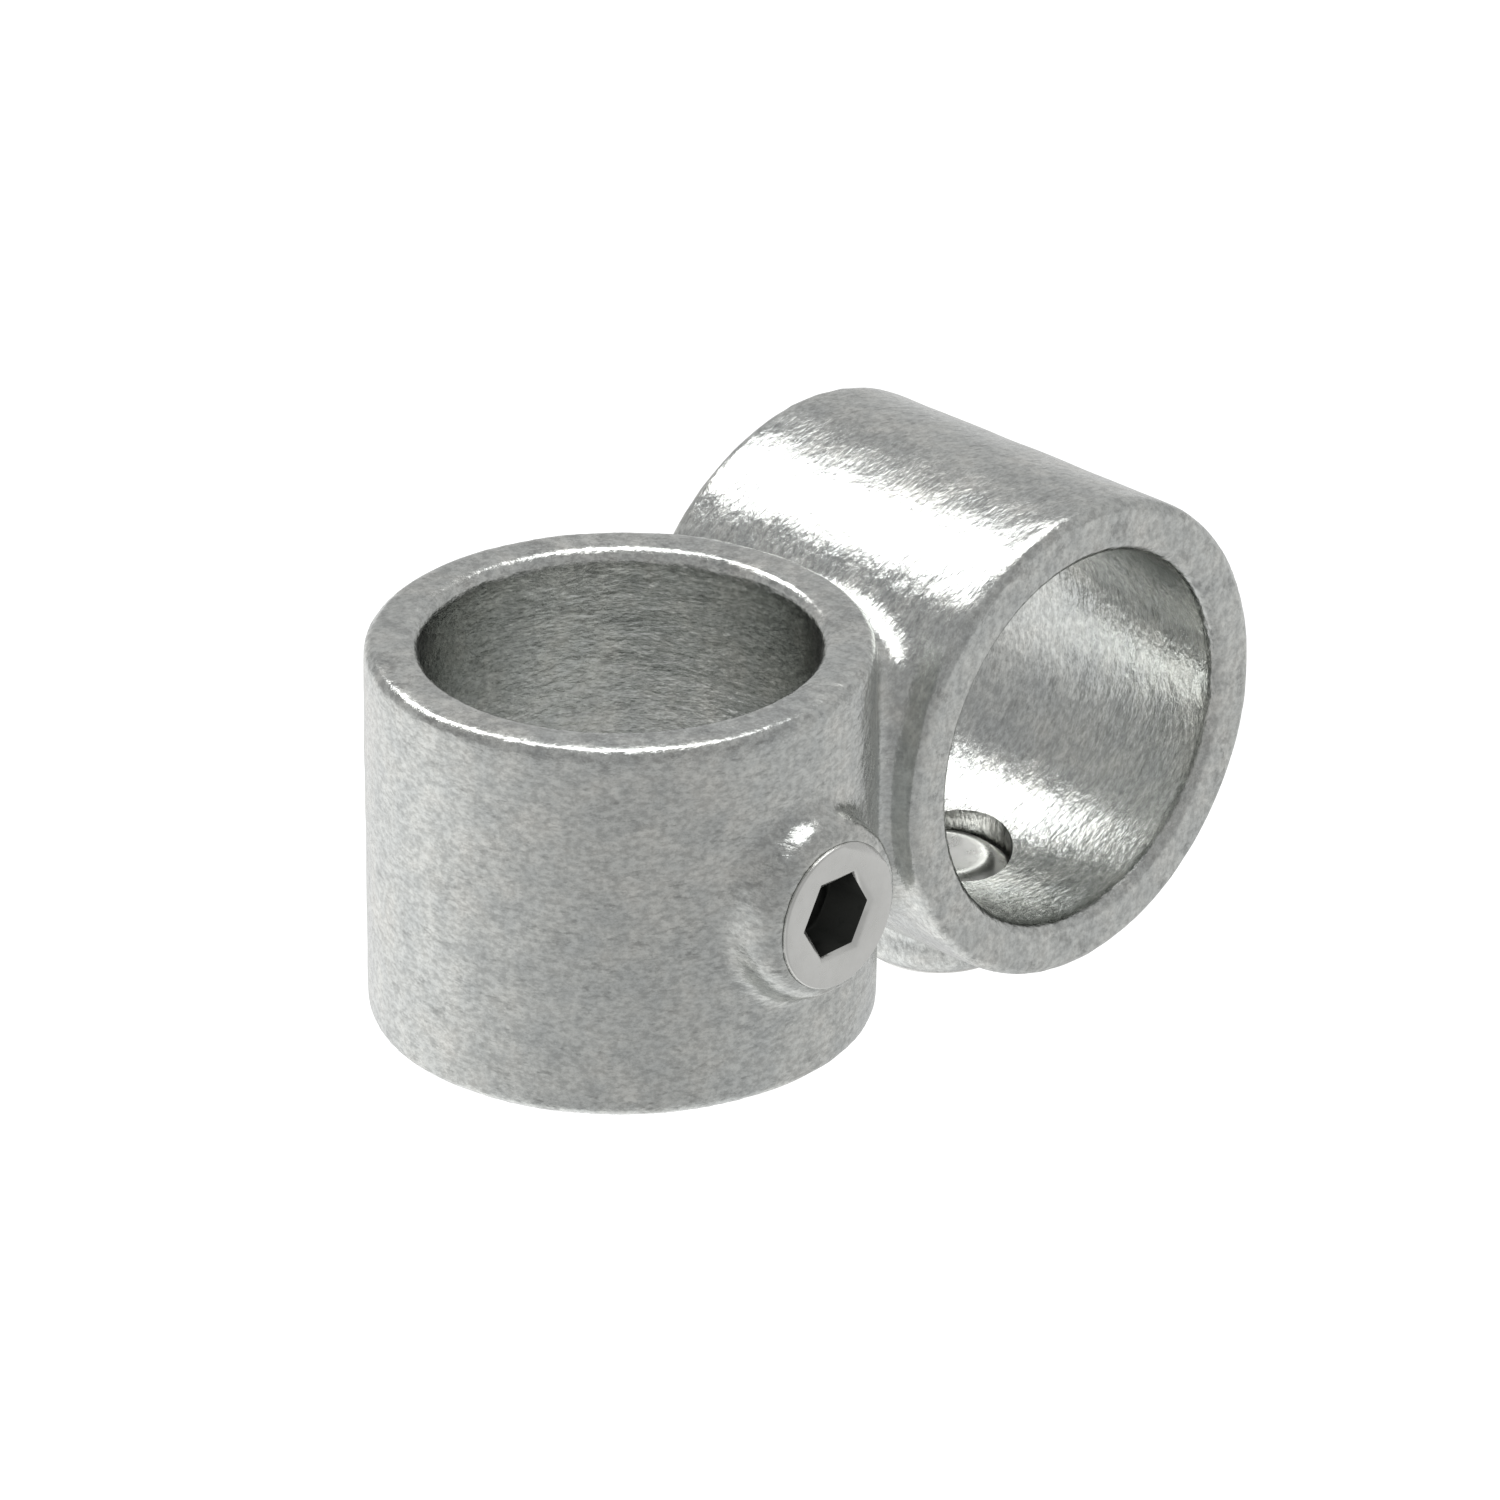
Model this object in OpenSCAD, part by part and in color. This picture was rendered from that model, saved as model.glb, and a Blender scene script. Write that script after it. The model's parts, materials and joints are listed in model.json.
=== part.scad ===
// Crossover tube clamp: one casting with two collars at right angles, side by side.
// Each collar grips a tube that runs right through it, with its own hexagon-socket set screw.
// The origin is the middle of the upright collar's bore. +Z runs up that bore, and the
// crossbar collar lies behind it, at +Y, with its bore along X.

/* [Tubes] */
// Outside diameter of both tubes
tube_d = 48.3; // [33.7:0.1:60.3]
// Gap between a tube and its bore, on the radius
tube_clearance = 0.45; // [0.2:0.05:0.5]
// Least metal between the two bores
web_t = 12; // [10.5:0.25:13]
// How far each collar's middle lies to one side of the other tube's centre line
stagger = 3.6; // [0:0.2:6]

/* [Collars] */
// Wall of each collar
wall_t = 7; // [6.5:0.1:7.5]
// Length of each collar along its tube
collar_len = 50; // [44:0.5:56]
// Rounding of the outer edge of each rim
rim_round = 1.8; // [0.8:0.1:2.8]
// Rounding of the inner edge of each rim
mouth_round = 1.8; // [0.8:0.1:2.8]

/* [Neck between the collars] */
// Radius of the neck's fillet where it has most room
neck_fillet = 5.2; // [3.5:0.1:6.5]

/* [Screw bosses] */
// Metal round each set screw at its boss
boss_wall = 2.6; // [2:0.1:4]
// Height of each boss over the barrel
boss_height = 5.3; // [4:0.1:8]
// Rounding of the boss's outer edge
boss_round = 1.8; // [0.5:0.1:1.9]
// Fillet between boss and barrel
boss_fillet = 2.2; // [1:0.1:3.5]
// Chamfer at the mouth of each tapped hole
hole_chamfer = 0.5; // [0.2:0.1:1]

/* [Set screws] */
// Diameter over the thread
screw_d = 18.8; // [12:0.1:22]
// Running gap round the screw, on the radius
screw_clearance = 0.05; // [0.02:0.01:0.1]
// How far the screw's outer face stands proud of its boss
screw_proud = 0.35; // [0:0.05:3]
// Gap between the screw's point and the bore when the tube is free
point_gap = 0.15; // [0.05:0.05:1]
// Chamfer at the screw's outer end, on the radius
head_chamfer = 0.6; // [0.2:0.1:1]
// Diameter of the cup point
point_d = 13.6; // [8:0.1:15]
// Depth of the cup in the point
cup_depth = 1.2; // [0.5:0.1:2]
// Width of the hexagon socket across its flats
socket_af = 9.5; // [6:0.25:10]
// Depth of the hexagon socket
socket_depth = 6.6; // [4:0.1:8]
// Width of the bevel round the socket's mouth, which has six sides too
socket_bevel = 0.78; // [0.3:0.01:1]

/* [Hidden] */

$fn = 96;
// Points along each fillet's arc, and rows of them round a boss and round the neck
arc_steps = 9;
boss_rows = 56;
neck_rows = 88;
// How sharply the neck turns its corners: higher is sharper
neck_corner = 14;
// How far a fillet's ends dip under the surfaces that they meet, and where its root lies
fillet_dip = 0.03;
fillet_root = 1.5;
// Overlap that carries a cut clear through a face
past = 1;

bore_r = tube_d / 2 + tube_clearance;
collar_r = bore_r + wall_t;
axis_gap = 2 * bore_r + web_t;
hole_r = screw_d / 2 + screw_clearance;
boss_r = screw_d / 2 + boss_wall;
boss_end = collar_r + boss_height;
screw_end = boss_end + screw_proud;
point_end = bore_r + point_gap;
// Ends of the straight barrels, seen from where the two centre lines cross
near_end = collar_len / 2 - stagger - rim_round;
far_end = collar_len / 2 + stagger - rim_round;

cast_colour = "#9da09c";
screw_colour = "#babbb6";

// Direction at share s of the way round from unit vector a to unit vector b
function between(a, b, s) =
    let (w = acos(a * b)) (sin((1 - s) * w) * a + sin(s * w) * b) / sin(w);

// Arc on a ball of radius r about c, from direction a round to direction b
function ball_arc(c, r, a, b) =
    [for (k = [0 : arc_steps]) c + r * between(a, b, k / arc_steps)];

// Solid band through closed sections, one row of points each, that closes on itself
module band(rows) {
    n = len(rows);
    m = len(rows[0]);
    polyhedron(
        points = [for (row = rows) each row],
        faces = [for (i = [0 : n - 1], j = [0 : m - 1])
            let (a = i * m + j,
                 b = i * m + (j + 1) % m,
                 c = ((i + 1) % n) * m + (j + 1) % m,
                 d = ((i + 1) % n) * m + j)
            each [[a, c, b], [a, d, c]]]);
}

// The casting looks the same after half a turn about the line between its two collars
module each_collar() {
    children();
    translate([-stagger, axis_gap, -stagger]) rotate(a = 180, v = [1, 0, -1]) children();
}

// Along a set screw's centre line, which leaves the upright collar at +X
module along_screw() rotate([0, 90, 0]) children();

// Cuts a square corner to a round of radius r: sx and sy point into the metal
module corner_cut(at, r, sx, sy) {
    translate(at) scale([sx, sy]) difference() {
        translate([-past, -past]) square(r + past);
        translate([r, r]) circle(r);
    }
}

module collar() {
    rotate_extrude() difference() {
        translate([bore_r, -collar_len / 2]) square([wall_t, collar_len]);
        for (s = [-1, 1]) {
            corner_cut([collar_r, s * collar_len / 2], rim_round, -1, -s);
            corner_cut([bore_r, s * collar_len / 2], mouth_round, 1, -s);
        }
    }
}

// Cylindrical boss that carries the thread, with a rounded outer edge
module boss() {
    root = bore_r + fillet_root;
    along_screw() translate([0, 0, root]) rotate_extrude() difference() {
        square([boss_r, boss_end - root]);
        corner_cut([boss_r, boss_end - root], boss_round, -1, -1);
    }
    boss_fillet_band();
}

// Fillet that a ball leaves as it rolls round the boss, on the barrel
module boss_fillet_band() {
    ball_r = boss_r + boss_fillet;
    inner_r = boss_r - fillet_root;
    rows = [for (i = [0 : boss_rows - 1])
        let (a = i * 360 / boss_rows,
             y = ball_r * cos(a),
             z = ball_r * sin(a),
             x = sqrt(pow(collar_r + boss_fillet, 2) - y * y),
             to_boss = [0, -cos(a), -sin(a)],
             to_barrel = -[x, y, 0] / (collar_r + boss_fillet),
             c = [x, y, z],
             inner_y = inner_r * cos(a))
        concat(ball_arc(c, boss_fillet + fillet_dip, to_boss, to_barrel), [
            c + (boss_fillet + fillet_root) * to_barrel,
            [sqrt(collar_r * collar_r - inner_y * inner_y) - fillet_root, inner_y, inner_r * sin(a)],
            [x, inner_y, inner_r * sin(a)]
        ])];
    band(rows);
}

// How far from the middle a fillet ball of radius r sits when it touches both barrels,
// in direction a seen along Y
function ball_reach(a, r) =
    let (k = pow(cos(2 * a) / (2 * axis_gap), 2),
         w = pow(collar_r + r, 2) - axis_gap * axis_gap / 4)
    k < 1e-9 ? sqrt(2 * w) : sqrt((sqrt(0.25 + 4 * k * w) - 0.5) / (2 * k));

// The ball stops short of all four rims, and the corners of its path are rounded
function neck_reach(a) =
    let (limits = [
            ball_reach(a, neck_fillet),
            (cos(a) > 0 ? near_end : far_end) / max(abs(cos(a)), 1e-3),
            (sin(a) > 0 ? far_end : near_end) / max(abs(sin(a)), 1e-3)],
         total = 1 + pow(limits[0] / limits[1], neck_corner)
                   + pow(limits[0] / limits[2], neck_corner))
    limits[0] * pow(total, -1 / neck_corner);

// Neck that joins the barrels: the trough that a ball leaves as it rolls round their
// crossing, touching both. Its radius grows from the tight sides to the open corners.
module neck() {
    // Radius of the band's own hole, which lies inside the web
    core_r = 7;
    rows = [for (i = [0 : neck_rows - 1])
        let (a = i * 360 / neck_rows,
             t = neck_reach(a),
             x = t * cos(a),
             z = t * sin(a),
             y = (axis_gap * axis_gap + z * z - x * x) / (2 * axis_gap),
             reach = norm([x, y]),
             r = reach - collar_r,
             c = [x, y, z],
             to_upright = -[x, y, 0] / reach,
             to_crossbar = [0, axis_gap - y, -z] / reach,
             inner = [core_r * cos(a), axis_gap / 2, core_r * sin(a)])
        concat(ball_arc(c, r + fillet_dip, to_upright, to_crossbar), [
            c + (r + fillet_root) * to_crossbar,
            inner + [0, past, 0],
            inner - [0, past, 0],
            c + (r + fillet_root) * to_upright
        ])];
    translate([0, 0, -stagger]) band(rows);
}

// Tapped hole from the boss into the bore, at the size over the thread
module screw_hole() {
    along_screw() {
        cylinder(r = hole_r, h = boss_end + past);
        translate([0, 0, boss_end - hole_chamfer])
            cylinder(r1 = hole_r, r2 = hole_r + hole_chamfer + past, h = hole_chamfer + past);
    }
}

module cast_body() {
    color(cast_colour) difference() {
        union() {
            each_collar() collar();
            neck();
            each_collar() boss();
        }
        each_collar() screw_hole();
    }
}

// Set screw: full thread length, cup point inwards and hexagon socket outwards
module set_screw() {
    length = screw_end - point_end;
    r = screw_d / 2;
    point_r = point_d / 2;
    // The cup's flat rim, and the slopes of the point's cone and of the outer chamfer
    cup_rim = 1;
    point_slope = 0.8;
    head_slope = 0.75;
    color(screw_colour) along_screw() translate([0, 0, point_end]) difference() {
        rotate_extrude() polygon([
            [0, cup_depth],
            [point_r - cup_rim, 0],
            [point_r, 0],
            [r, (r - point_r) * point_slope],
            [r, length - head_chamfer * head_slope],
            [r - head_chamfer, length],
            [0, length]
        ]);
        translate([0, 0, length]) hex_socket();
    }
}

// Hexagon socket sunk from z = 0, with the cone that its drill leaves in the floor
module hex_socket() {
    drill_r = socket_af / 2 - 0.3;
    drill_tip = 1.2;
    translate([0, 0, -socket_depth]) {
        rotate([0, 0, 30]) cylinder(d = socket_af / cos(30), h = socket_depth + past, $fn = 6);
        translate([0, 0, -drill_tip]) cylinder(r1 = drill_r / 10, r2 = drill_r, h = drill_tip);
    }
    hex_bevel();
}

// Six-sided bevel that widens the socket up to z = 0
module hex_bevel() {
    bevel_slope = 0.78;
    depth = socket_bevel * bevel_slope;
    half = socket_af / 2;
    wide = half + socket_bevel * (depth + past) / depth;
    intersection_for(a = [0, 60, 120])
        rotate([90, 0, a]) linear_extrude(height = 4 * half, center = true)
            polygon([[-half, -depth], [half, -depth], [wide, past], [-wide, past]]);
}

module upright_screw() set_screw();

module crossbar_screw() {
    translate([-stagger, axis_gap, -stagger]) rotate(a = 180, v = [1, 0, -1]) set_screw();
}

cast_body();
upright_screw();
crossbar_screw();
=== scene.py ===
"""Crossover tube clamp: galvanised casting, two threaded set screws, pale studio."""

import json
import math

import bmesh
import bpy
import numpy as np
from mathutils import Matrix, Vector, noise


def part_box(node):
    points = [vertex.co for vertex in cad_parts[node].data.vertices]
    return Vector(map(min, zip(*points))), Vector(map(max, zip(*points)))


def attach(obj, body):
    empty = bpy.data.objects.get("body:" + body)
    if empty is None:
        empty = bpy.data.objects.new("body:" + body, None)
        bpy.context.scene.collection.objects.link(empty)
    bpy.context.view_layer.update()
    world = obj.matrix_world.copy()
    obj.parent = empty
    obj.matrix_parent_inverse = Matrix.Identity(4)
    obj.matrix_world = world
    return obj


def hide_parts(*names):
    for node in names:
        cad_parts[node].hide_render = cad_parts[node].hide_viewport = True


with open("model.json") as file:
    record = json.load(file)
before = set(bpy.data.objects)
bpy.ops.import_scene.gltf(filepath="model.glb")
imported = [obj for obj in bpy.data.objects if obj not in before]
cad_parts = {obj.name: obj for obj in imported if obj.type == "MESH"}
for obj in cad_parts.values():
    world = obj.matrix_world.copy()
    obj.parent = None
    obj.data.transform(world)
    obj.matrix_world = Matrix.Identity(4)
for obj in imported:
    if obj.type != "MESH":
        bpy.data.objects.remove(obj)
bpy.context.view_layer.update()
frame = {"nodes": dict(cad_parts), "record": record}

# Lengths are in millimetres, unless a comment says metres
MM = 0.001


def in_mm(metres):
    """Length from the frame in millimetres, to the nearest hundredth."""
    return round(metres / MM, 2)


mounts = {mount["name"]: mount for mount in frame["record"]["mounts"]}
crossbar_place = mounts["crossbar_bore"]["pos_m"]
cast_low, cast_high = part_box("cast_body")
screw_low, screw_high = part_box("upright_screw")

# The part, from the frame; the upright collar's boss and set screw face +X
BORE_R = mounts["upright_bore"]["dims"]["r_mm"]
AXIS_GAP = in_mm(crossbar_place[1])
STAGGER = in_mm(-crossbar_place[0])
COLLAR_R = in_mm(-cast_low.y)
BOSS_END = in_mm(cast_high.x)
SCREW_POINT = in_mm(screw_low.x)
SCREW_END = in_mm(screw_high.x)
SCREW_R = in_mm(screw_high.y)
BOSS_WALL = 2.6
BOSS_R = SCREW_R + BOSS_WALL

# From the upright collar's side of the part to the crossbar collar's: half a turn and a move
HALF_TURN = ((0, 0, -1), (0, -1, 0), (-1, 0, 0))
MOVE = (-STAGGER, AXIS_GAP, -STAGGER)
UPRIGHT_SIDE = Matrix.Identity(4)
CROSSBAR_SIDE = Matrix.Translation(Vector(MOVE) * MM) @ Matrix(HALF_TURN).to_4x4()
SIDES = (UPRIGHT_SIDE, CROSSBAR_SIDE)

# Camera, fitted to the outlines: azimuth of its right-hand side, elevation and roll in degrees
CAM_AZIMUTH = 44.106
CAM_ELEVATION = 26.57
CAM_ROLL = -0.067
# Its place to the right, up and back, from the height of the crossbar's centre line
CAM_RIGHT = 15.863
CAM_UP = 11.877
CAM_DISTANCE = 1524.9
CAM_LENS = 296.52
CAM_FILM = 36
# How far it sees, in metres
CAM_SIGHT = 50

# Floor, in metres, with the share of light that it gives back and the glow that whitens it
FLOOR_Z = -0.15
FLOOR_SIZE = 6.0
FLOOR_WHITE = 0.86
FLOOR_GLOW = 0.52

# Lamps: their distance, and the place near the middle of the part that they face, in metres
LAMP_DISTANCE = 0.9
LAMP_AIM = Vector((0, 0.03, 0))

# Studio: azimuths in degrees of its bright left and its weaker back
LEFT_AZIMUTH = -165
BACK_AZIMUTH = 80
# Its glow from all sides, and what the left, the middle of the left, the back and below add
BASE_GLOW = 0.52
LEFT_GLOW = 0.1
MIDDLE_GLOW = 0.4
BACK_GLOW = 0.15
UNDER_GLOW = 0.4
# How much of a direction's height counts in how far left it is
HEIGHT_SHARE = 0.35

# Colours: zinc from cool to warm, steel from dark to pale, and the near-black that paints the shade
# inside the sockets, from dark to pale
ZINC_COOL = (0.622, 0.642, 0.63)
ZINC_PLAIN = (0.645, 0.658, 0.636)
ZINC_WARM = (0.672, 0.672, 0.64)
STEEL_DARK = (0.77, 0.77, 0.745)
STEEL_PALE = (0.84, 0.84, 0.815)
SOCKET_SHADE_DARK = (0.035, 0.037, 0.034)
SOCKET_SHADE_PALE = (0.065, 0.067, 0.062)

# Between these two, along Y, the grain turns from round one barrel to round the other
GRAIN_UPRIGHT = 24
GRAIN_CROSSBAR = 36

# Skin over the casting: mesh width, depth and width of its unevenness, and the finer waves in it
SKIN_MESH = 0.71
SKIN_DIP = 0.11
SKIN_WAVE = 7.0
FINER = 2.3
FINER_SHARE = 0.5
# The dip where the waves are level, as a share of the deepest, and how steeply it follows them
DIP_LEVEL = 0.5
DIP_GAIN = 0.8
# How far outside the bore the unevenness starts, and how much further out it is full
DIP_START = 1.5
DIP_FADE = 2

# The bosses are rounder than their solids, and a little lower next to the screws
BOSS_ROUND = 2.9
BOSS_SINK = 0.22
BOSS_LOW_END = BOSS_END - BOSS_SINK

# Smoothing: rounds over the neck and at the bosses' feet, and how far a point moves in each
NECK_BLEND = 7
BOSS_BLEND = 15
BLEND_SHARE = 0.6
# Over this height at a barrel's surface, the neck's smoothing grows from nothing to full
NECK_FADE = 0.3
# The feet's smoothing takes over this far below a barrel's top and this far out from the boss
FOOT_DEPTH = 5
FOOT_ZONE = 6
# It starts this far outside the boss's flat end and is full after a length, and it ends this far
# out from the boss after fading over another
FOOT_START = 1.2
FOOT_GROWS = 1.0
FOOT_REACH = 5.5
FOOT_FADE = 2.0

# Tapped holes: gap round the screw's solid, chamfer, and where the cut starts inside the bore
HOLE_GAP = 0.02
HOLE_R = SCREW_R + HOLE_GAP
HOLE_CHAMFER = 0.06
HOLE_START = 20
# Plugs that fill them in the meantime: how much wider they are, and rows of points at the bore
PLUG_OVERLAP = 1.2
PLUG_ROWS = 6

# Thread, which fades out under the screw's outer face; its crests lie just inside the solid
PITCH = 1.8
THREAD_DEPTH = 1.05
THREAD_END = 1.0
THREAD_FADE = 1.2
CREST_INSET = 0.01
CREST_R = SCREW_R - CREST_INSET
# Corners of one pitch, from crest to root, as shares of the pitch and of the depth
THREAD_PROFILE = ((0, 0), (0.12, 0), (0.5, 1), (0.62, 1))
# How much longer at each end the rod is that the screw is cut from
ROD_SPARE = 3

# Flat where the thread ends: distance from the centre line, its turn round it and its slant in
# degrees, and the width of the block that cuts it
RUNOUT_AT = 7.9
RUNOUT_ANGLE = 55.6
RUNOUT_SLANT = 22
RUNOUT_BLOCK = 10

# Outer edge of the screws: the round, its steps, and how near the edge the solid's chamfer lies
EDGE_ROUND = 0.3
EDGE_STEPS = 4
CHAMFER_ZONE = 0.7

# Socket: depth with its drill's cone, depth of its bevel, and a radius just outside its corners
SOCKET_DEPTH = 7.8
SOCKET_BEVEL = 0.61
SOCKET_R = 5.6
SOCKET_MARGIN = 0.02

# Points round a turned shape and round the thread, and how far a cut goes past a face
ROUND_STEPS = 96
THREAD_STEPS = 72
PAST = 1

# Points of a solid this close, in metres, are the same one. After a cut a sliver's width does
SAME_POINT = 1e-7
SLIVER = 0.004
# Least length to divide by
TINY = 1e-6

# Edges that turn by more than this, in degrees, are drawn sharp
SKIN_SHARP = 38
SCREW_SHARP = 28


def direction(azimuth, elevation):
    """Unit vector at an azimuth from +X and an elevation, in degrees."""
    turn = math.radians(azimuth)
    tilt = math.radians(elevation)
    return Vector((math.cos(turn) * math.cos(tilt), math.sin(turn) * math.cos(tilt), math.sin(tilt)))


def link(obj):
    """Puts an object in the scene, and gives it back."""
    bpy.context.scene.collection.objects.link(obj)
    return obj


def mesh_of(name, bm):
    """Mesh from a finished bmesh, which is freed."""
    mesh = bpy.data.meshes.new(name)
    bm.to_mesh(mesh)
    bm.free()
    return mesh


def dress(obj, *mats):
    """Gives an object its materials."""
    obj.data.materials.clear()
    for mat in mats:
        obj.data.materials.append(mat)


def make_camera():
    """Camera at its fitted place, with its fitted angles."""
    roll = math.radians(CAM_ROLL)
    ahead = -direction(CAM_AZIMUTH - 90, CAM_ELEVATION)
    level = direction(CAM_AZIMUTH, 0)
    rise = level.cross(ahead)
    right = level * math.cos(roll) + rise * math.sin(roll)
    up = rise * math.cos(roll) - level * math.sin(roll)
    place = (right * CAM_RIGHT + up * CAM_UP - ahead * CAM_DISTANCE) * MM
    place.z -= STAGGER * MM
    data = bpy.data.cameras.new("camera")
    data.sensor_width = CAM_FILM
    data.lens = CAM_LENS
    data.clip_end = CAM_SIGHT
    camera = link(bpy.data.objects.new("camera", data))
    turn = Matrix((right, up, -ahead)).transposed()
    camera.matrix_world = Matrix.Translation(place) @ turn.to_4x4()
    bpy.context.scene.camera = camera


def softbox(name, azimuth, elevation, width, height, radiance):
    """Oval lamp, sized in metres, that faces the part; radiance is what a mirror would show."""
    data = bpy.data.lights.new(name, "AREA")
    data.shape = "ELLIPSE"
    data.size = width
    data.size_y = height
    # An area lamp of power P and area A shows P / (pi * A), and an ellipse has pi / 4 of its box
    data.energy = radiance * math.pi * width * height * math.pi / 4
    lamp = link(bpy.data.objects.new(name, data))
    aim = direction(azimuth, elevation)
    lamp.location = aim * LAMP_DISTANCE + LAMP_AIM
    lamp.rotation_mode = "QUATERNION"
    lamp.rotation_quaternion = aim.to_track_quat("Z", "Y")
    lamp.visible_camera = False


def node(tree, kind, place=(0, 0), **settings):
    """New node of a kind, at a place in the node editor."""
    n = tree.nodes.new(kind)
    n.location = place
    for key, value in settings.items():
        setattr(n, key, value)
    return n


def join(tree, output, socket):
    """Link from one node's output to another's socket."""
    tree.links.new(output, socket)


def calc(tree, operation, a, b=0.0, place=(0, 0), c=0.0, clamp=False):
    """Math node on outputs or numbers; gives its output."""
    n = node(tree, "ShaderNodeMath", place, operation=operation, use_clamp=clamp)
    for i, value in enumerate((a, b, c)):
        if isinstance(value, (int, float)):
            n.inputs[i].default_value = value
        else:
            join(tree, value, n.inputs[i])
    return n.outputs[0]


def vector_calc(tree, operation, a, b=None, place=(0, 0)):
    """Vector node on an output and, where it takes one, a fixed vector; gives its output."""
    n = node(tree, "ShaderNodeVectorMath", place, operation=operation)
    join(tree, a, n.inputs[0])
    if b is not None:
        n.inputs[1].default_value = b
    return n.outputs["Value" if operation == "DOT_PRODUCT" else "Vector"]


def axis_of(tree, vector, axis, place=(0, 0)):
    """One coordinate of a vector: X, Y or Z."""
    split = node(tree, "ShaderNodeSeparateXYZ", place)
    join(tree, vector, split.inputs[0])
    return split.outputs[axis]


def ramp(tree, value, low, high, to_low, to_high, place=(0, 0)):
    """Smooth step, from to_low where the value is low to to_high where it is high."""
    n = node(tree, "ShaderNodeMapRange", place, interpolation_type="SMOOTHSTEP")
    join(tree, value, n.inputs["Value"])
    n.inputs["From Min"].default_value = low
    n.inputs["From Max"].default_value = high
    n.inputs["To Min"].default_value = to_low
    n.inputs["To Max"].default_value = to_high
    return n.outputs["Result"]


def studio_glow(tree, toward):
    """Brightness of the studio in a unit direction: brightest low down on the far left."""
    squashed = vector_calc(tree, "MULTIPLY", toward, (1, 1, HEIGHT_SHARE), (-1300, 0))
    level = vector_calc(tree, "NORMALIZE", squashed, None, (-1100, 0))
    to_left = vector_calc(tree, "DOT_PRODUCT", level, direction(LEFT_AZIMUTH, 0), (-900, 0))
    to_back = vector_calc(tree, "DOT_PRODUCT", toward, direction(BACK_AZIMUTH, 0), (-900, -200))
    height = axis_of(tree, toward, "Z", (-900, -400))
    # 1 within 26 degrees of the left, 0 more than 123 degrees from it
    near = calc(tree, "MULTIPLY_ADD", to_left, 0.69, (-700, 0), c=0.38, clamp=True)
    cube = calc(tree, "POWER", near, 3.0, (-550, 0))
    middle = calc(tree, "MULTIPLY", cube, MIDDLE_GLOW, (-400, 0))
    left = calc(tree, "MULTIPLY_ADD", near, LEFT_GLOW, (-250, 0), c=middle)
    # The left glows in full low down, and only a twentieth of that from 30 degrees up
    low = ramp(tree, height, -0.45, 0.5, 1.0, 0.05, (-400, -400))
    back = calc(tree, "MULTIPLY", to_back, BACK_GLOW, (-400, -200), clamp=True)
    under = ramp(tree, height, -0.98, -0.72, UNDER_GLOW, 0.0, (-400, -600))
    glow = calc(tree, "MULTIPLY_ADD", left, low, (-100, 0), c=BASE_GLOW)
    glow = calc(tree, "ADD", glow, back, (50, 0))
    return calc(tree, "ADD", glow, under, (200, 0))


def ray_kinds(tree):
    """Two outputs: 1 for camera and see-through rays, and 1 for glossy rays."""
    path = node(tree, "ShaderNodeLightPath", (-400, 400))
    camera = path.outputs["Is Camera Ray"]
    through = path.outputs["Is Transmission Ray"]
    return calc(tree, "MAXIMUM", camera, through, (-200, 400)), path.outputs["Is Glossy Ray"]


def make_world():
    """Studio all round: its glow on the metal, and white or more to the camera."""
    world = bpy.data.worlds.new("studio")
    bpy.context.scene.world = world
    world.use_nodes = True
    tree = world.node_tree
    tree.nodes.clear()
    out = node(tree, "ShaderNodeOutputWorld", (400, 0))
    back = node(tree, "ShaderNodeBackground", (200, 0))
    coords = node(tree, "ShaderNodeTexCoord", (-800, 0))
    glow = studio_glow(tree, coords.outputs["Generated"])
    straight, _ = ray_kinds(tree)
    join(tree, calc(tree, "MAXIMUM", glow, straight, (50, 0)), back.inputs["Strength"])
    join(tree, back.outputs[0], out.inputs[0])


def floor_white():
    """Matte white that keeps its shadow; the metal sees the studio's glow in its place."""
    mat = bpy.data.materials.new("floor")
    mat.use_nodes = True
    tree = mat.node_tree
    tree.nodes.clear()
    out = node(tree, "ShaderNodeOutputMaterial", (900, 0))
    place = node(tree, "ShaderNodeNewGeometry", (-1000, 0))
    toward = vector_calc(tree, "NORMALIZE", place.outputs["Position"], None, (-800, 0))
    glow = studio_glow(tree, toward)
    straight, glossy = ray_kinds(tree)
    matte = node(tree, "ShaderNodeBsdfDiffuse", (300, 100))
    matte.inputs["Color"].default_value = (FLOOR_WHITE, FLOOR_WHITE, FLOOR_WHITE, 1)
    # Seen straight, the lit floor gets just enough glow to be white
    lift = node(tree, "ShaderNodeEmission", (300, -50))
    join(tree, calc(tree, "MULTIPLY", straight, FLOOR_GLOW, (100, -50)), lift.inputs["Strength"])
    lit = node(tree, "ShaderNodeAddShader", (500, 50))
    join(tree, matte.outputs[0], lit.inputs[0])
    join(tree, lift.outputs[0], lit.inputs[1])
    mirror = node(tree, "ShaderNodeEmission", (300, -250))
    join(tree, glow, mirror.inputs["Strength"])
    mix = node(tree, "ShaderNodeMixShader", (700, 0))
    join(tree, glossy, mix.inputs[0])
    join(tree, lit.outputs[0], mix.inputs[1])
    join(tree, mirror.outputs[0], mix.inputs[2])
    join(tree, mix.outputs[0], out.inputs[0])
    return mat


def make_floor():
    """Plain floor, well below the part."""
    bm = bmesh.new()
    bmesh.ops.create_grid(bm, x_segments=1, y_segments=1, size=FLOOR_SIZE / 2)
    floor = link(bpy.data.objects.new("floor", mesh_of("floor", bm)))
    floor.location = (0, 0, FLOOR_Z)
    dress(floor, floor_white())


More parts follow.
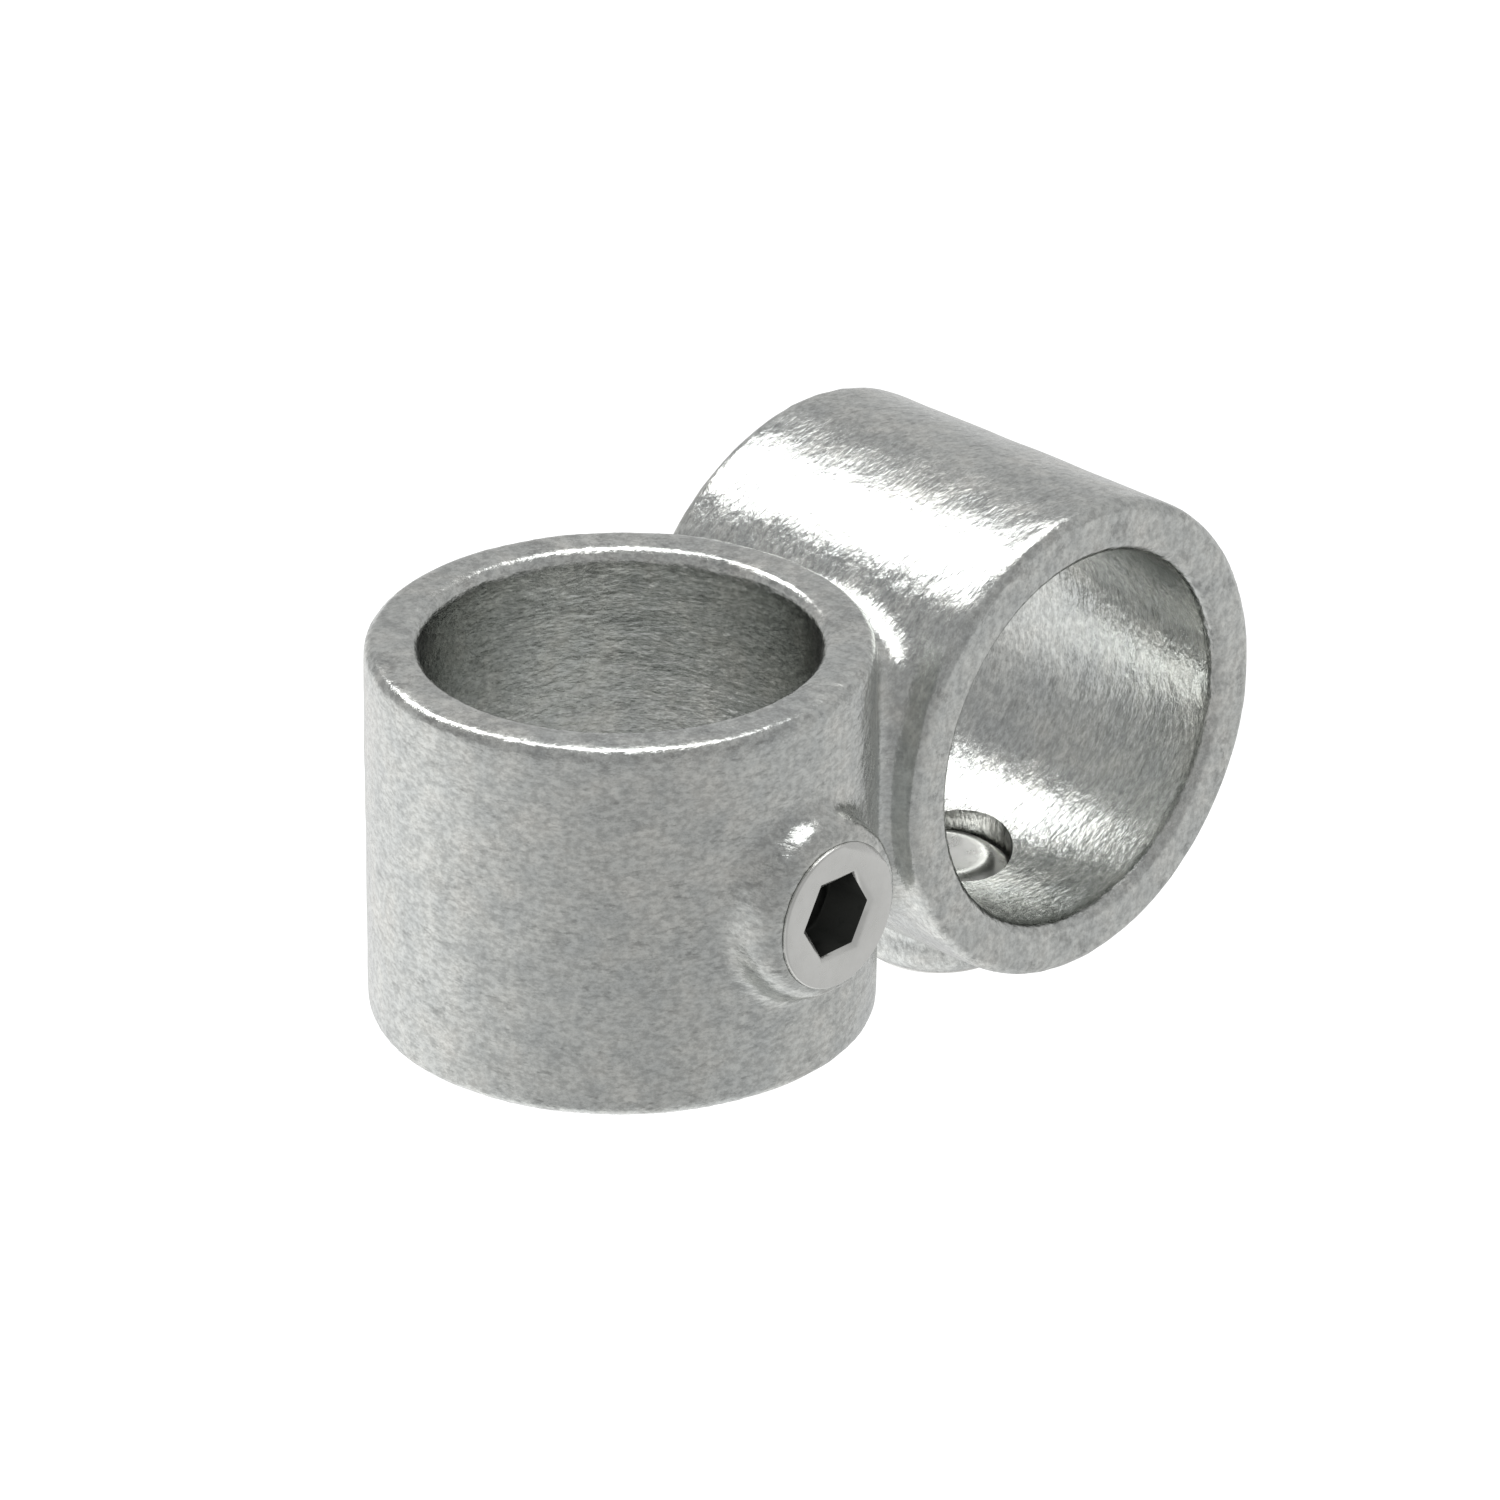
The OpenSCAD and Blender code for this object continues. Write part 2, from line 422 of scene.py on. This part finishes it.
def texture(tree, coords, scale, stretch=(1, 1, 1), detail=2, rough=0.5, place=(0, 0)):
    """Noise whose features are 1 / scale metres wide before the stretch; gives its value."""
    mapping = node(tree, "ShaderNodeMapping", (place[0] - 200, place[1]))
    mapping.inputs["Scale"].default_value = stretch
    join(tree, coords, mapping.inputs["Vector"])
    n = node(tree, "ShaderNodeTexNoise", place)
    n.inputs["Scale"].default_value = scale
    n.inputs["Detail"].default_value = detail
    n.inputs["Roughness"].default_value = rough
    join(tree, mapping.outputs[0], n.inputs["Vector"])
    return n.outputs["Fac"]


def round_barrels(tree, coords, scale, flat, detail=2, rough=0.5, place=(0, 0)):
    """Noise drawn out round each barrel, to 1 / flat of its width; gives its value."""
    left, level = place
    depth = axis_of(tree, coords, "Y", (left, level + 200))
    limits = (GRAIN_UPRIGHT * MM, GRAIN_CROSSBAR * MM)
    behind = ramp(tree, depth, *limits, 0.0, 1.0, (left + 150, level + 200))
    front = texture(tree, coords, scale, (flat, flat, 1), detail, rough, place)
    rear = texture(tree, coords, scale, (1, flat, flat), detail, rough, (left, level - 150))
    n = node(tree, "ShaderNodeMix", (left + 300, level))
    join(tree, behind, n.inputs[0])
    join(tree, front, n.inputs[2])
    join(tree, rear, n.inputs[3])
    return n.outputs[0]


def bump(tree, height, distance, below=None, place=(0, 0)):
    """Bump of a height in metres, on top of another one if given; gives its normal."""
    n = node(tree, "ShaderNodeBump", place)
    n.inputs["Strength"].default_value = 1.0
    n.inputs["Distance"].default_value = distance
    join(tree, height, n.inputs["Height"])
    if below:
        join(tree, below, n.inputs["Normal"])
    return n.outputs[0]


def colours(tree, value, stops, place=(0, 0)):
    """Colour ramp; stops are (position, colour)."""
    n = node(tree, "ShaderNodeValToRGB", place)
    elements = n.color_ramp.elements
    while len(elements) < len(stops):
        elements.new(0.5)
    for element, (position, colour) in zip(elements, stops):
        element.position = position
        element.color = (*colour, 1)
    join(tree, value, n.inputs[0])
    return n.outputs[0]


def metal(name):
    """New metal: the material, its tree, its shader and the coordinates on the part."""
    mat = bpy.data.materials.new(name)
    mat.use_nodes = True
    tree = mat.node_tree
    tree.nodes.clear()
    out = node(tree, "ShaderNodeOutputMaterial", (1300, 0))
    shader = node(tree, "ShaderNodeBsdfPrincipled", (1000, 0))
    shader.inputs["Metallic"].default_value = 1.0
    join(tree, shader.outputs[0], out.inputs[0])
    coords = node(tree, "ShaderNodeTexCoord", (-1000, 0))
    return mat, tree, shader, coords.outputs["Object"]


def galvanised():
    """Hot-dip zinc: fine drawn-out grain, soft warm and cool patches, small dimples."""
    mat, tree, shader, at = metal("galvanised")
    grain = round_barrels(tree, at, 1800, 0.45, detail=3, rough=0.6, place=(-900, 900))
    ripple = round_barrels(tree, at, 560, 0.5, place=(-900, 500))
    speck = round_barrels(tree, at, 1500, 0.6, detail=5, rough=0.75, place=(-900, 0))
    dash = round_barrels(tree, at, 900, 0.3, detail=4, rough=0.75, place=(-900, -900))
    patch = texture(tree, at, 230, detail=5, rough=0.65, place=(-500, -300))
    cloud = texture(tree, at, 60, place=(-500, -600))
    patch_share = calc(tree, "MULTIPLY", patch, 0.6, (-200, -300))
    cloud_share = calc(tree, "MULTIPLY", cloud, 0.4, (-200, -450))
    warmth = calc(tree, "ADD", patch_share, cloud_share, (-50, -300))
    stops = [(0.36, ZINC_COOL), (0.5, ZINC_PLAIN), (0.64, ZINC_WARM)]
    tone = colours(tree, warmth, stops, (150, -300))
    specks = ramp(tree, speck, 0.34, 0.66, 0.77, 1.18, (150, 100))
    dashes = ramp(tree, dash, 0.34, 0.44, 0.76, 1.0, (150, 250))
    patches = ramp(tree, patch, 0.36, 0.64, 0.93, 1.06, (150, 400))
    marks = calc(tree, "MULTIPLY", dashes, patches, (300, 300))
    flecked = node(tree, "ShaderNodeVectorMath", (500, -100), operation="SCALE")
    join(tree, tone, flecked.inputs[0])
    join(tree, calc(tree, "MULTIPLY", specks, marks, (350, 150)), flecked.inputs["Scale"])
    join(tree, flecked.outputs[0], shader.inputs["Base Color"])
    join(tree, ramp(tree, patch, 0.35, 0.65, 0.18, 0.26, (500, -500)), shader.inputs["Roughness"])
    wide = bump(tree, ripple, 0.14 * MM, place=(500, 300))
    join(tree, bump(tree, grain, 0.09 * MM, wide, (700, 300)), shader.inputs["Normal"])
    return mat


def set_screw_steel():
    """Pale satin steel with a faint fine grain."""
    mat, tree, shader, at = metal("set_screw_steel")
    grain = texture(tree, at, 2600, place=(-500, 300))
    patch = texture(tree, at, 400, detail=3, rough=0.55, place=(-500, 0))
    tone = colours(tree, patch, [(0.35, STEEL_DARK), (0.65, STEEL_PALE)], (150, 0))
    join(tree, tone, shader.inputs["Base Color"])
    join(tree, ramp(tree, patch, 0.35, 0.65, 0.26, 0.34, (500, -300)), shader.inputs["Roughness"])
    join(tree, bump(tree, grain, 0.02 * MM, place=(500, 300)), shader.inputs["Normal"])
    return mat


def socket_painted_shade():
    """Inside of a socket: near-black colour that paints the shade in its recess."""
    mat, tree, shader, at = metal("socket_painted_shade")
    patch = texture(tree, at, 700, detail=3, rough=0.6, place=(-500, 0))
    tone = colours(tree, patch, [(0.3, SOCKET_SHADE_DARK), (0.7, SOCKET_SHADE_PALE)], (150, 0))
    join(tree, tone, shader.inputs["Base Color"])
    join(tree, ramp(tree, patch, 0.35, 0.65, 0.45, 0.6, (500, -300)), shader.inputs["Roughness"])
    return mat


def applied(obj):
    """Mesh of an object with its modifiers applied; the object itself goes."""
    bpy.context.view_layer.update()
    graph = bpy.context.evaluated_depsgraph_get()
    mesh = bpy.data.meshes.new_from_object(obj.evaluated_get(graph))
    bpy.data.objects.remove(obj)
    return mesh


def boolean(mesh, tool, operation):
    """Result of one mesh with another, as a new mesh."""
    base = link(bpy.data.objects.new("base", mesh))
    other = link(bpy.data.objects.new("tool", tool))
    cut = base.modifiers.new("cut", "BOOLEAN")
    cut.object = other
    cut.operation = operation
    cut.solver = "EXACT"
    result = applied(base)
    bpy.data.objects.remove(other)
    return result


def remeshed(mesh, width):
    """Closed shapes joined into one even mesh, of a width in millimetres."""
    obj = link(bpy.data.objects.new("even", mesh))
    even = obj.modifiers.new("even", "REMESH")
    even.mode = "VOXEL"
    even.voxel_size = width * MM
    return applied(obj)


def on_circle(x, r, angle):
    """Point round the X axis in metres, from millimetres and an angle in radians."""
    return x * MM, r * math.cos(angle) * MM, r * math.sin(angle) * MM


def revolved(name, profile, ring=False):
    """Solid turned round +X from (x, radius) points, which start and end on the axis.

    A ring's points stay off the axis, and its profile closes on itself."""
    bm = bmesh.new()
    angles = [math.tau * i / ROUND_STEPS for i in range(ROUND_STEPS)]
    rings = []
    for x, r in profile:
        if r == 0:
            rings.append([bm.verts.new((x * MM, 0, 0))])
        else:
            rings.append([bm.verts.new(on_circle(x, r, angle)) for angle in angles])
    if ring:
        rings.append(rings[0])
    for a, b in zip(rings, rings[1:]):
        for i in range(ROUND_STEPS):
            j = (i + 1) % ROUND_STEPS
            corners = [a[i % len(a)], a[j % len(a)], b[j % len(b)], b[i % len(b)]]
            bm.faces.new(list(dict.fromkeys(corners)))
    bmesh.ops.recalc_face_normals(bm, faces=bm.faces)
    return mesh_of(name, bm)


def cleaned(mesh):
    """Copy without the slivers that cuts leave: points a few micrometres apart become one."""
    bm = bmesh.new()
    bm.from_mesh(mesh)
    bmesh.ops.triangulate(bm, faces=bm.faces)
    bmesh.ops.remove_doubles(bm, verts=bm.verts, dist=SLIVER * MM)
    bmesh.ops.dissolve_degenerate(bm, edges=bm.edges, dist=SLIVER * MM)
    stray = [f for f in bm.faces if sum(len(e.link_faces) == 2 for e in f.edges) < 2]
    bmesh.ops.delete(bm, geom=stray, context="FACES")
    bmesh.ops.delete(bm, geom=[v for v in bm.verts if not v.link_faces], context="VERTS")
    return mesh_of("clean", bm)


def shade(mesh, angle):
    """Smooth shading, but for edges that turn by more than an angle in degrees."""
    mesh.shade_smooth()
    mesh.set_sharp_from_angle(angle=math.radians(angle))


def points_of(mesh):
    """A mesh's points, one row each, in millimetres."""
    co = np.empty(len(mesh.vertices) * 3)
    mesh.vertices.foreach_get("co", co)
    return co.reshape(-1, 3) / MM


def move_points(mesh, co):
    """Puts a mesh's points at new places in millimetres."""
    mesh.vertices.foreach_set("co", (co * MM).ravel())
    mesh.update()


def neighbours(mesh):
    """Pairs of points that share an edge."""
    pairs = np.empty(len(mesh.edges) * 2, dtype=np.int64)
    mesh.edges.foreach_get("vertices", pairs)
    return pairs.reshape(-1, 2)


def from_axes(co):
    """Each point's distance from the nearer of the two bores' centre lines."""
    upright = np.hypot(co[:, 0], co[:, 1])
    crossbar = np.hypot(co[:, 1] - AXIS_GAP, co[:, 2] + STAGGER)
    return np.minimum(upright, crossbar)


def own_views():
    """For each collar, the move and turn that put its side where the upright collar's is."""
    return (np.zeros(3), np.eye(3)), (np.array(MOVE), np.array(HALF_TURN))


def grows(value, start, length):
    """0 up to the start, 1 from a length further on, and even in between."""
    return np.clip((value - start) / length, 0, 1)


def relax(co, pairs, weight, rounds):
    """Moves each point towards the middle of its neighbours by its weight, over and over."""
    count = np.bincount(pairs.ravel(), minlength=len(co))
    for _ in range(rounds):
        for axis in range(3):
            own = co[:, axis]
            total = np.bincount(pairs[:, 0], own[pairs[:, 1]], len(co))
            total += np.bincount(pairs[:, 1], own[pairs[:, 0]], len(co))
            co[:, axis] = own + (total / count - own) * weight


def blend_fillets(mesh):
    """Smooths the neck where it lies off the plain barrels, and more widely the bosses' feet."""
    co = points_of(mesh)
    pairs = neighbours(mesh)
    neck = grows(from_axes(co) - COLLAR_R, -NECK_FADE / 2, NECK_FADE)
    feet = np.zeros(len(co))
    for move, turn in own_views():
        own = (co - move) @ turn
        out = np.hypot(own[:, 1], own[:, 2])
        near = (own[:, 0] > COLLAR_R - FOOT_DEPTH) & (out < BOSS_R + FOOT_ZONE)
        inner = grows(out - BOSS_R + BOSS_ROUND, FOOT_START, FOOT_GROWS)
        outer = grows(BOSS_R + FOOT_REACH - out, 0, FOOT_FADE)
        neck = np.where(near, 0.0, neck)
        feet = np.where(near, inner * outer, feet)
    relax(co, pairs, neck * BLEND_SHARE, NECK_BLEND)
    relax(co, pairs, feet * BLEND_SHARE, BOSS_BLEND)
    move_points(mesh, co)


def round_bosses(mesh):
    """Brings each boss's outer edge in to a wider round, and its end a little lower."""
    middle_out = BOSS_R - BOSS_ROUND
    middle_x = BOSS_LOW_END - BOSS_ROUND
    co = points_of(mesh)
    for move, turn in own_views():
        own = (co - move) @ turn
        out = np.hypot(own[:, 1], own[:, 2])
        a = out - middle_out
        b = own[:, 0] - middle_x
        length = np.hypot(a, b)
        proud = (a > 0) & (b > 0) & (length > BOSS_ROUND)
        share = BOSS_ROUND / np.maximum(length, TINY)
        new_out = np.where(proud, middle_out + a * share, out)
        own[:, 0] = np.where(proud, middle_x + b * share, own[:, 0])
        own[:, 1:] *= (new_out / np.maximum(out, TINY))[:, None]
        co = own @ turn.T + move
    move_points(mesh, co)


def wave_at(point):
    """Smooth noise with finer noise on top."""
    coarse = noise.noise(Vector(point / SKIN_WAVE))
    fine = noise.noise(Vector(point / SKIN_WAVE * FINER))
    return coarse + FINER_SHARE * fine


def unevenness(mesh):
    """Dips the outside a little here and there, as cast; the bores stay true."""
    co = points_of(mesh)
    normals = np.empty(len(mesh.vertices) * 3)
    mesh.vertex_normals.foreach_get("vector", normals)
    outside = grows(from_axes(co) - BORE_R, DIP_START, DIP_FADE)
    wave = np.array([wave_at(point) for point in co])
    dip = np.clip(DIP_LEVEL + DIP_GAIN * wave, 0, 1) * SKIN_DIP * outside
    move_points(mesh, co - normals.reshape(-1, 3) * dip[:, None])


def hole_plug():
    """Fills a tapped hole, from the bore and flush with it to the boss's end."""
    wide = HOLE_R + PLUG_OVERLAP
    inner_end = [(BORE_R, wide * k / PLUG_ROWS) for k in range(PLUG_ROWS + 1)]
    mesh = revolved("plug", inner_end + [(BOSS_END, wide), (BOSS_END, 0)])
    halfway = (BORE_R + BOSS_END) / 2 * MM
    for v in mesh.vertices:
        if v.co.x < halfway:
            v.co.x = math.sqrt((BORE_R * MM) ** 2 - v.co.y ** 2)
    return mesh


def hole_cutter():
    """Cuts a tapped hole from the boss into the bore, with its chamfer."""
    edge = BOSS_LOW_END - HOLE_CHAMFER
    top = edge + 2 * PAST
    wall = [(HOLE_START, HOLE_R), (edge, HOLE_R), (top, HOLE_R + 2 * PAST)]
    return revolved("hole", [(HOLE_START, 0)] + wall + [(top, 0)])


def cast_skin(source):
    """The casting, meshed evenly so that its fillets flow and its faces are slightly uneven."""
    bm = bmesh.new()
    bm.from_mesh(source.data)
    # The tapped holes are filled first and cut again at the end, so that their edges stay crisp
    for side in SIDES:
        plug = hole_plug()
        plug.transform(side)
        bm.from_mesh(plug)
    mesh = remeshed(mesh_of("filled", bm), SKIN_MESH)
    round_bosses(mesh)
    blend_fillets(mesh)
    unevenness(mesh)
    for side in SIDES:
        cutter = hole_cutter()
        cutter.transform(side)
        mesh = boolean(mesh, cutter, "DIFFERENCE")
    mesh = cleaned(mesh)
    shade(mesh, SKIN_SHARP)
    skin = link(bpy.data.objects.new("casting_skin", mesh))
    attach(skin, "casting")
    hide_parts("cast_body")
    return skin


def thread_radius(x, deep):
    """Radius at x and a share of the thread's depth, which fades out before the outer face."""
    fade = min(max((SCREW_END - THREAD_END - x) / THREAD_FADE, 0), 1)
    return CREST_R - deep * THREAD_DEPTH * fade


def close_end(bm, x, inner):
    """Fan of faces from the centre line at x to the rod's open edge, at the inner or outer end."""
    centre = bm.verts.new((x * MM, 0, 0))
    middle = (SCREW_POINT + SCREW_END) / 2 * MM
    for edge in [e for e in bm.edges if e.is_boundary and (e.verts[0].co.x < middle) == inner]:
        bm.faces.new((edge.verts[0], edge.verts[1], centre))


def threaded_rod():
    """Long threaded rod along +X that the screw is cut from, closed at both ends."""
    corners = len(THREAD_PROFILE)
    start = SCREW_POINT - ROD_SPARE
    end = SCREW_END + ROD_SPARE
    first = math.floor(start / PITCH)
    rows = (math.ceil(end / PITCH) - first) * corners
    bm = bmesh.new()
    grid = []
    for j in range(THREAD_STEPS):
        column = []
        for k in range(rows + 1):
            share, deep = THREAD_PROFILE[k % corners]
            x = PITCH * (first + k // corners + share + j / THREAD_STEPS)
            place = on_circle(x, thread_radius(x, deep), math.tau * j / THREAD_STEPS)
            column.append(bm.verts.new(place))
        grid.append(column)
    for j, column in enumerate(grid):
        # After a whole turn, a row meets the one that lies a pitch further on
        after = grid[(j + 1) % THREAD_STEPS]
        shift = corners if j == THREAD_STEPS - 1 else 0
        for k in range(rows - shift):
            bm.faces.new((column[k], after[k + shift], after[k + 1 + shift], column[k + 1]))
    close_end(bm, start, True)
    close_end(bm, end, False)
    bmesh.ops.recalc_face_normals(bm, faces=bm.faces)
    return mesh_of("rod", bm)


def screw_outline(source):
    """The screw's solid as one closed mesh, with its outer chamfer filled out to a square edge."""
    bm = bmesh.new()
    bm.from_mesh(source.data)
    bmesh.ops.remove_doubles(bm, verts=bm.verts, dist=SAME_POINT)
    for v in bm.verts:
        x, y, z = v.co / MM
        out = math.hypot(y, z)
        if x > SCREW_END - CHAMFER_ZONE and out > SCREW_R - CHAMFER_ZONE:
            v.co = Vector((SCREW_END, y / out * SCREW_R, z / out * SCREW_R)) * MM
    bmesh.ops.remove_doubles(bm, verts=bm.verts, dist=SAME_POINT)
    return mesh_of("outline", bm)


def edge_cutter():
    """Ring that takes a small round off the screw's outer edge."""
    profile = []
    for k in range(EDGE_STEPS + 1):
        angle = math.radians(90 * k / EDGE_STEPS)
        x = SCREW_END - EDGE_ROUND * (1 - math.sin(angle))
        profile.append((x, CREST_R - EDGE_ROUND * (1 - math.cos(angle))))
    beyond = SCREW_END + PAST
    wide = SCREW_R + PAST
    profile += [(beyond, SCREW_R - EDGE_ROUND), (beyond, wide), (SCREW_END - EDGE_ROUND, wide)]
    return revolved("round", profile, ring=True)


def runout_cutter():
    """Block that cuts the small flat where the thread ends, at the screw's outer edge."""
    bm = bmesh.new()
    bmesh.ops.create_cube(bm, size=RUNOUT_BLOCK * MM)
    block = mesh_of("flat", bm)
    turn = Matrix.Rotation(math.radians(RUNOUT_ANGLE), 4, "X")
    edge = Matrix.Translation((SCREW_END * MM, RUNOUT_AT * MM, 0))
    lean = Matrix.Rotation(math.radians(RUNOUT_SLANT), 4, "Z")
    block.transform(turn @ edge @ lean @ Matrix.Translation((RUNOUT_BLOCK / 2 * MM, 0, 0)))
    return block


def set_screw_mesh(source):
    """Thread cut to the screw's outline, with its rounded edge and the flat at its end."""
    mesh = boolean(threaded_rod(), screw_outline(source), "INTERSECT")
    mesh = boolean(mesh, edge_cutter(), "DIFFERENCE")
    mesh = cleaned(boolean(mesh, runout_cutter(), "DIFFERENCE"))
    shade(mesh, SCREW_SHARP)
    return mesh


def mark_socket(mesh):
    """Gives the faces inside the socket the second material, the painted shade; its bevel keeps the
    first.
    """
    lowest = SCREW_END - SOCKET_DEPTH - SOCKET_MARGIN
    highest = SCREW_END - SOCKET_BEVEL - SOCKET_MARGIN
    for face in mesh.polygons:
        x, y, z = face.center / MM
        inside = lowest < x < highest and math.hypot(y, z) < SOCKET_R
        face.material_index = 1 if inside else 0


def threaded_screw(name, body, side, mesh, *mats):
    """Set screw on its side of the part, in place of the plain solid of its name."""
    piece = link(bpy.data.objects.new(name + "_threaded", mesh.copy()))
    dress(piece, *mats)
    mark_socket(piece.data)
    piece.data.transform(side)
    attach(piece, body)
    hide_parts(name)


make_camera()
make_world()
make_floor()
softbox("key", azimuth=177, elevation=50, width=0.42, height=0.36, radiance=4.0)
softbox("overhead", azimuth=134, elevation=72, width=0.5, height=0.74, radiance=2.4)
bpy.context.scene.view_settings.view_transform = "Standard"

zinc = galvanised()
steel = set_screw_steel()
# The sockets' second material is a near-black that paints the shade inside them
dark = socket_painted_shade()
dress(cast_skin(frame["nodes"]["cast_body"]), zinc)
screw = set_screw_mesh(frame["nodes"]["upright_screw"])
threaded_screw("upright_screw", "upright_set_screw", UPRIGHT_SIDE, screw, steel, dark)
threaded_screw("crossbar_screw", "crossbar_set_screw", CROSSBAR_SIDE, screw, steel, dark)
